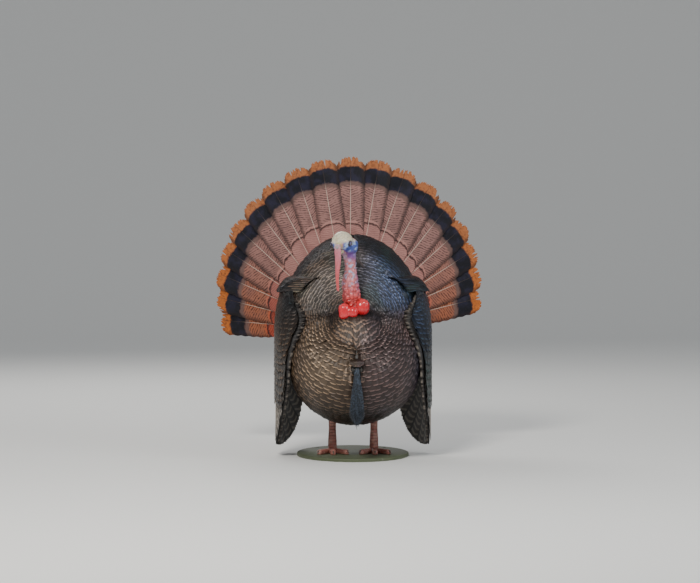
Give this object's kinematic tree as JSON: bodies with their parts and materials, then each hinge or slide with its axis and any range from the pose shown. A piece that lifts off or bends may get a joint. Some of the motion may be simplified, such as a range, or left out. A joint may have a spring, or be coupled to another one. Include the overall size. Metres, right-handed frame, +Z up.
{
  "type": "turkey decoy",
  "caption": "Life-size strutting gobbler decoy with a folding, tilting tail fan, turning head, drooping wings and hanging beard on a plate stand.",
  "frame": {"origin": "centre of the base plate's width on its underside, below the neck-to-tail line, where z = 0 is the ground", "axes": "+Z up, -Y the way the bird faces, +X the bird's left"},
  "size_m": [0.6815, 0.4897, 0.748],
  "materials": {
    "stand_paint": "matt olive paint",
    "leg_skin": "matt, scaled",
    "steel": "zinc plated",
    "frame_plastic": "moulded, matt",
    "body_plumage": "moulded shell dressed with bronze feathers",
    "wing_plumage": "moulded wing dressed with dark feathers",
    "tail_plumage": "dried feather, satin",
    "head_skin": "soft rubber, satin",
    "wattle_skin": "soft rubber, satin",
    "eye_gloss": "glossy",
    "horn": "satin horn",
    "beard_bristle": "coarse bristle"
  },
  "bodies": {
    "root": {"base_plate": "stand_paint", "foot_left": "leg_skin", "foot_right": "leg_skin", "leg_left": "leg_skin", "leg_right": "leg_skin", "leg_rods": "steel", "leg_nuts": "steel", "leg_tray": "frame_plastic", "keel_plate": "frame_plastic", "body_shell_left": "body_plumage", "body_shell_right": "body_plumage", "seam_screws": "steel", "seam_nuts": "steel", "neck_socket": "frame_plastic", "beard_clip": "frame_plastic", "beard_pin": "steel", "wing_bracket_left": "frame_plastic", "wing_bracket_right": "frame_plastic", "wing_pins": "steel", "tail_bracket": "frame_plastic", "tilt_pin": "steel"},
    "head": {"head_neck": "head_skin", "wattles": "wattle_skin", "eyes": "eye_gloss", "beak": "horn", "snood_pin": "steel"},
    "snood": {"snood": "wattle_skin"},
    "beard": {"beard": "beard_bristle"},
    "wing_left": {"wing_left": "wing_plumage"},
    "wing_right": {"wing_right": "wing_plumage"},
    "fan_arm": {"fan_clamp_plate": "frame_plastic", "tilt_arm": "frame_plastic", "hub_bolt": "steel", "wing_nut": "steel"},
    "tail_feather_01": {"tail_feather_01": "tail_plumage"},
    "tail_feather_02": {"tail_feather_02": "tail_plumage"},
    "tail_feather_03": {"tail_feather_03": "tail_plumage"},
    "tail_feather_04": {"tail_feather_04": "tail_plumage"},
    "tail_feather_05": {"tail_feather_05": "tail_plumage"},
    "tail_feather_06": {"tail_feather_06": "tail_plumage"},
    "tail_feather_07": {"tail_feather_07": "tail_plumage"},
    "tail_feather_08": {"tail_feather_08": "tail_plumage"},
    "tail_feather_09": {"tail_feather_09": "tail_plumage"},
    "tail_feather_10": {"tail_feather_10": "tail_plumage"},
    "tail_feather_11": {"tail_feather_11": "tail_plumage"},
    "tail_feather_12": {"tail_feather_12": "tail_plumage"},
    "tail_feather_13": {"tail_feather_13": "tail_plumage"},
    "tail_feather_14": {"tail_feather_14": "tail_plumage"},
    "tail_feather_15": {"tail_feather_15": "tail_plumage"},
    "tail_feather_16": {"tail_feather_16": "tail_plumage"},
    "tail_feather_17": {"tail_feather_17": "tail_plumage"},
    "tail_feather_18": {"tail_feather_18": "tail_plumage"}
  },
  "joints": [
    {"name": "head_swivel", "type": "hinge", "parent": "root", "child": "head", "pos_m": [0, -0.15, 0.3613], "axis": [0, 0, 1], "range_deg": [-18, 18]},
    {"name": "snood_swing", "type": "hinge", "parent": "head", "child": "snood", "pos_m": [-0.04574, -0.20952, 0.5273], "axis": [-0.3746, -0.9272, 0], "range_deg": [-20, 20]},
    {"name": "beard_swing", "type": "hinge", "parent": "root", "child": "beard", "pos_m": [0, -0.238, 0.231], "axis": [-1, 0, 0], "range_deg": [0, 35]},
    {"name": "wing_left_flare", "type": "hinge", "parent": "root", "child": "wing_left", "pos_m": [-0.172, 0.01, 0.42], "axis": [0, 1, 0], "range_deg": [0, 22]},
    {"name": "wing_right_flare", "type": "hinge", "parent": "root", "child": "wing_right", "pos_m": [0.172, 0.01, 0.42], "axis": [0, -1, 0], "range_deg": [0, 22]},
    {"name": "fan_tilt", "type": "hinge", "parent": "root", "child": "fan_arm", "pos_m": [0, 0.218, 0.25], "axis": [-1, 0, 0], "range_deg": [0, 75]},
    {"name": "fold_01", "type": "hinge", "parent": "fan_arm", "child": "tail_feather_01", "pos_m": [0, 0.199, 0.301], "axis": [0, 1, 0], "range_deg": [0, 76]},
    {"name": "fold_02", "type": "hinge", "parent": "fan_arm", "child": "tail_feather_02", "pos_m": [0, 0.199, 0.301], "axis": [0, 1, 0], "range_deg": [0, 67.07]},
    {"name": "fold_03", "type": "hinge", "parent": "fan_arm", "child": "tail_feather_03", "pos_m": [0, 0.199, 0.301], "axis": [0, 1, 0], "range_deg": [0, 58.13]},
    {"name": "fold_04", "type": "hinge", "parent": "fan_arm", "child": "tail_feather_04", "pos_m": [0, 0.199, 0.301], "axis": [0, 1, 0], "range_deg": [0, 49.19]},
    {"name": "fold_05", "type": "hinge", "parent": "fan_arm", "child": "tail_feather_05", "pos_m": [0, 0.199, 0.301], "axis": [0, 1, 0], "range_deg": [0, 40.24]},
    {"name": "fold_06", "type": "hinge", "parent": "fan_arm", "child": "tail_feather_06", "pos_m": [0, 0.199, 0.301], "axis": [0, 1, 0], "range_deg": [0, 31.3]},
    {"name": "fold_07", "type": "hinge", "parent": "fan_arm", "child": "tail_feather_07", "pos_m": [0, 0.199, 0.301], "axis": [0, 1, 0], "range_deg": [0, 22.36]},
    {"name": "fold_08", "type": "hinge", "parent": "fan_arm", "child": "tail_feather_08", "pos_m": [0, 0.199, 0.301], "axis": [0, 1, 0], "range_deg": [0, 13.42]},
    {"name": "fold_09", "type": "hinge", "parent": "fan_arm", "child": "tail_feather_09", "pos_m": [0, 0.199, 0.301], "axis": [0, 1, 0], "range_deg": [0, 4.48]},
    {"name": "fold_10", "type": "hinge", "parent": "fan_arm", "child": "tail_feather_10", "pos_m": [0, 0.199, 0.301], "axis": [0, 1, 0], "range_deg": [-4.48, 0]},
    {"name": "fold_11", "type": "hinge", "parent": "fan_arm", "child": "tail_feather_11", "pos_m": [0, 0.199, 0.301], "axis": [0, 1, 0], "range_deg": [-13.42, 0]},
    {"name": "fold_12", "type": "hinge", "parent": "fan_arm", "child": "tail_feather_12", "pos_m": [0, 0.199, 0.301], "axis": [0, 1, 0], "range_deg": [-22.36, 0]},
    {"name": "fold_13", "type": "hinge", "parent": "fan_arm", "child": "tail_feather_13", "pos_m": [0, 0.199, 0.301], "axis": [0, 1, 0], "range_deg": [-31.3, 0]},
    {"name": "fold_14", "type": "hinge", "parent": "fan_arm", "child": "tail_feather_14", "pos_m": [0, 0.199, 0.301], "axis": [0, 1, 0], "range_deg": [-40.24, 0]},
    {"name": "fold_15", "type": "hinge", "parent": "fan_arm", "child": "tail_feather_15", "pos_m": [0, 0.199, 0.301], "axis": [0, 1, 0], "range_deg": [-49.19, 0]},
    {"name": "fold_16", "type": "hinge", "parent": "fan_arm", "child": "tail_feather_16", "pos_m": [0, 0.199, 0.301], "axis": [0, 1, 0], "range_deg": [-58.13, 0]},
    {"name": "fold_17", "type": "hinge", "parent": "fan_arm", "child": "tail_feather_17", "pos_m": [0, 0.199, 0.301], "axis": [0, 1, 0], "range_deg": [-67.07, 0]},
    {"name": "fold_18", "type": "hinge", "parent": "fan_arm", "child": "tail_feather_18", "pos_m": [0, 0.199, 0.301], "axis": [0, 1, 0], "range_deg": [-76.01, 0]}
  ],
  "couplings": [
    {"joint": "fold_02", "follows": "fold_01", "ratio": 0.88235},
    {"joint": "fold_03", "follows": "fold_01", "ratio": 0.76471},
    {"joint": "fold_04", "follows": "fold_01", "ratio": 0.64706},
    {"joint": "fold_05", "follows": "fold_01", "ratio": 0.52941},
    {"joint": "fold_06", "follows": "fold_01", "ratio": 0.41176},
    {"joint": "fold_07", "follows": "fold_01", "ratio": 0.29412},
    {"joint": "fold_08", "follows": "fold_01", "ratio": 0.17647},
    {"joint": "fold_09", "follows": "fold_01", "ratio": 0.058824},
    {"joint": "fold_10", "follows": "fold_01", "ratio": -0.058824},
    {"joint": "fold_11", "follows": "fold_01", "ratio": -0.17647},
    {"joint": "fold_12", "follows": "fold_01", "ratio": -0.29412},
    {"joint": "fold_13", "follows": "fold_01", "ratio": -0.41176},
    {"joint": "fold_14", "follows": "fold_01", "ratio": -0.52941},
    {"joint": "fold_15", "follows": "fold_01", "ratio": -0.64706},
    {"joint": "fold_16", "follows": "fold_01", "ratio": -0.76471},
    {"joint": "fold_17", "follows": "fold_01", "ratio": -0.88235},
    {"joint": "fold_18", "follows": "fold_01", "ratio": -1}
  ]
}
